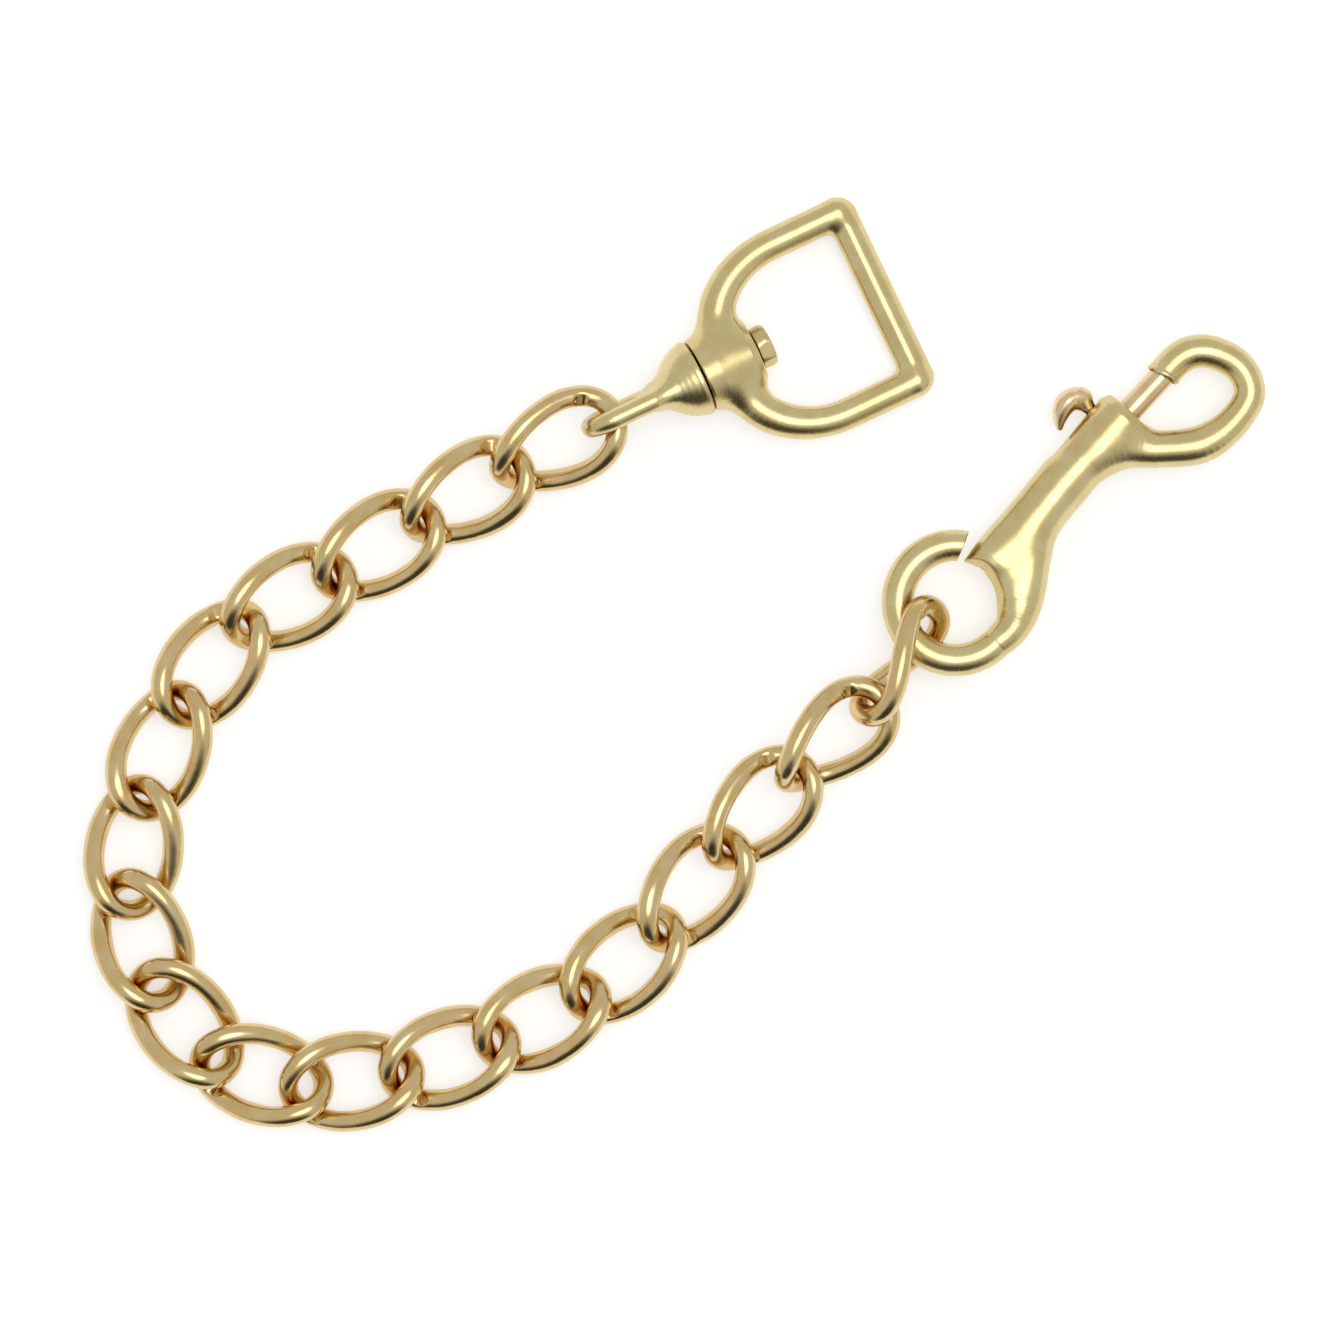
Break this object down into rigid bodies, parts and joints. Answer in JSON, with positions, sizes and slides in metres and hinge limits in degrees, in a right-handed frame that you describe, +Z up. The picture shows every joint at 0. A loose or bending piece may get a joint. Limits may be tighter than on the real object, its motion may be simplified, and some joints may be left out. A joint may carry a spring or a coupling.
{
  "type": "lead chain",
  "caption": "Twisted curb chain of brass links with a riveted swivel strap dee at one end and a sprung bolt snap hook at the other, laid in a U",
  "frame": {"origin": "centre of the bounding box on the plane that the laid chain rests on", "axes": "+Z is up, +X runs from the closed end of the U to its open end, +Y runs from the lower leg of the U to the leg with the dee"},
  "size_m": [0.1946, 0.153, 0.0166],
  "materials": {
    "cast_brass": "satin tumbled casting",
    "drawn_brass": "bright drawn wire with tool dents",
    "spring_steel": "plain drawn spring wire"
  },
  "bodies": {
    "dee": {"dee_frame": "cast_brass"},
    "swivel": {"swivel_eye": "cast_brass"},
    "link_01": {"chain_link_01": "drawn_brass"},
    "link_02": {"chain_link_02": "drawn_brass"},
    "link_03": {"chain_link_03": "drawn_brass"},
    "link_04": {"chain_link_04": "drawn_brass"},
    "link_05": {"chain_link_05": "drawn_brass"},
    "link_06": {"chain_link_06": "drawn_brass"},
    "link_07": {"chain_link_07": "drawn_brass"},
    "link_08": {"chain_link_08": "drawn_brass"},
    "link_09": {"chain_link_09": "drawn_brass"},
    "link_10": {"chain_link_10": "drawn_brass"},
    "link_11": {"chain_link_11": "drawn_brass"},
    "link_12": {"chain_link_12": "drawn_brass"},
    "link_13": {"chain_link_13": "drawn_brass"},
    "link_14": {"chain_link_14": "drawn_brass"},
    "link_15": {"chain_link_15": "drawn_brass"},
    "link_16": {"chain_link_16": "drawn_brass"},
    "link_17": {"chain_link_17": "drawn_brass"},
    "link_18": {"chain_link_18": "drawn_brass"},
    "snap": {"snap_body": "cast_brass", "snap_spring": "spring_steel"},
    "bolt": {"snap_bolt": "cast_brass", "snap_thumb_stud": "cast_brass"}
  },
  "joints": [
    {"name": "swivel_turn", "type": "hinge", "parent": "dee", "child": "swivel", "pos_m": [0.00408, 0.04772, 0.00641], "axis": [0.8964, 0.4276, -0.117], "continuous": true},
    {"name": "link_01_fold", "type": "hinge", "parent": "swivel", "child": "link_01", "pos_m": [-0.01142, 0.04077, 0.00766], "axis": [0.4695, -0.8829, 0], "range_deg": [-6, 3]},
    {"name": "link_02_sway", "type": "hinge", "parent": "link_01", "child": "link_02", "pos_m": [-0.0267, 0.03265, 0.00637], "axis": [0, 0, 1], "range_deg": [-20, 3]},
    {"name": "link_03_fold", "type": "hinge", "parent": "link_02", "child": "link_03", "pos_m": [-0.0415, 0.0241, 0.00555], "axis": [-0.515, 0.8572, 0], "range_deg": [-30, 10]},
    {"name": "link_04_sway", "type": "hinge", "parent": "link_03", "child": "link_04", "pos_m": [-0.05596, 0.01506, 0.00508], "axis": [0, 0, -1], "range_deg": [-9, 4]},
    {"name": "link_05_fold", "type": "hinge", "parent": "link_04", "child": "link_05", "pos_m": [-0.07089, 0.00713, 0.00466], "axis": [0.6428, -0.766, 0], "range_deg": [-26, 28]},
    {"name": "link_06_sway", "type": "hinge", "parent": "link_05", "child": "link_06", "pos_m": [-0.0812, -0.00607, 0.00445], "axis": [0, 0, 1], "range_deg": [-40, 6]},
    {"name": "link_07_fold", "type": "hinge", "parent": "link_06", "child": "link_07", "pos_m": [-0.08772, -0.02144, 0.00445], "axis": [-0.9636, 0.2672, 0], "range_deg": [-22, 20]},
    {"name": "link_08_sway", "type": "hinge", "parent": "link_07", "child": "link_08", "pos_m": [-0.08998, -0.03749, 0.00431], "axis": [0, 0, -1], "range_deg": [-6, 40]},
    {"name": "link_09_fold", "type": "hinge", "parent": "link_08", "child": "link_09", "pos_m": [-0.08539, -0.0525, 0.00423], "axis": [0.887, 0.4617, 0], "range_deg": [-10, 10]},
    {"name": "link_10_sway", "type": "hinge", "parent": "link_09", "child": "link_10", "pos_m": [-0.07563, -0.06499, 0.00413], "axis": [0, 0, 1], "range_deg": [-40, 6]},
    {"name": "link_11_fold", "type": "hinge", "parent": "link_10", "child": "link_11", "pos_m": [-0.06063, -0.06929, 0.00409], "axis": [-0.0698, -0.9976, 0], "range_deg": [-10, 10]},
    {"name": "link_12_sway", "type": "hinge", "parent": "link_11", "child": "link_12", "pos_m": [-0.04484, -0.06707, 0.0042], "axis": [0, 0, -1], "range_deg": [-6, 35]},
    {"name": "link_13_fold", "type": "hinge", "parent": "link_12", "child": "link_13", "pos_m": [-0.02914, -0.06166, 0.00431], "axis": [-0.3907, 0.9205, 0], "range_deg": [-21, 18]},
    {"name": "link_14_sway", "type": "hinge", "parent": "link_13", "child": "link_14", "pos_m": [-0.01444, -0.05417, 0.00434], "axis": [0, 0, 1], "range_deg": [-40, 9]},
    {"name": "link_15_fold", "type": "hinge", "parent": "link_14", "child": "link_15", "pos_m": [-0.00188, -0.04325, 0.00462], "axis": [0.7254, -0.6884, 0], "range_deg": [-16, 12]},
    {"name": "link_16_sway", "type": "hinge", "parent": "link_15", "child": "link_16", "pos_m": [0.0085, -0.02997, 0.00563], "axis": [0, 0, -1], "range_deg": [-11, 24]},
    {"name": "link_17_fold", "type": "hinge", "parent": "link_16", "child": "link_17", "pos_m": [0.01981, -0.01741, 0.00734], "axis": [-0.7009, 0.7133, 0], "range_deg": [-11, 27]},
    {"name": "link_18_sway", "type": "hinge", "parent": "link_17", "child": "link_18", "pos_m": [0.03256, -0.00633, 0.0083], "axis": [0, 0, 1], "range_deg": [-5, 8]},
    {"name": "snap_fold", "type": "hinge", "parent": "link_18", "child": "snap", "pos_m": [0.04174, 0.00781, 0.00747], "axis": [0.8387, -0.5446, 0], "range_deg": [-15, 2]},
    {"name": "bolt_slide", "type": "slide", "parent": "snap", "child": "bolt", "axis": [-0.6816, -0.7309, 0.0349], "range_m": [0, 0.008], "stiffness_N_per_m": 600, "springref_m": -0.004, "deforming": ["snap_spring"]}
  ]
}
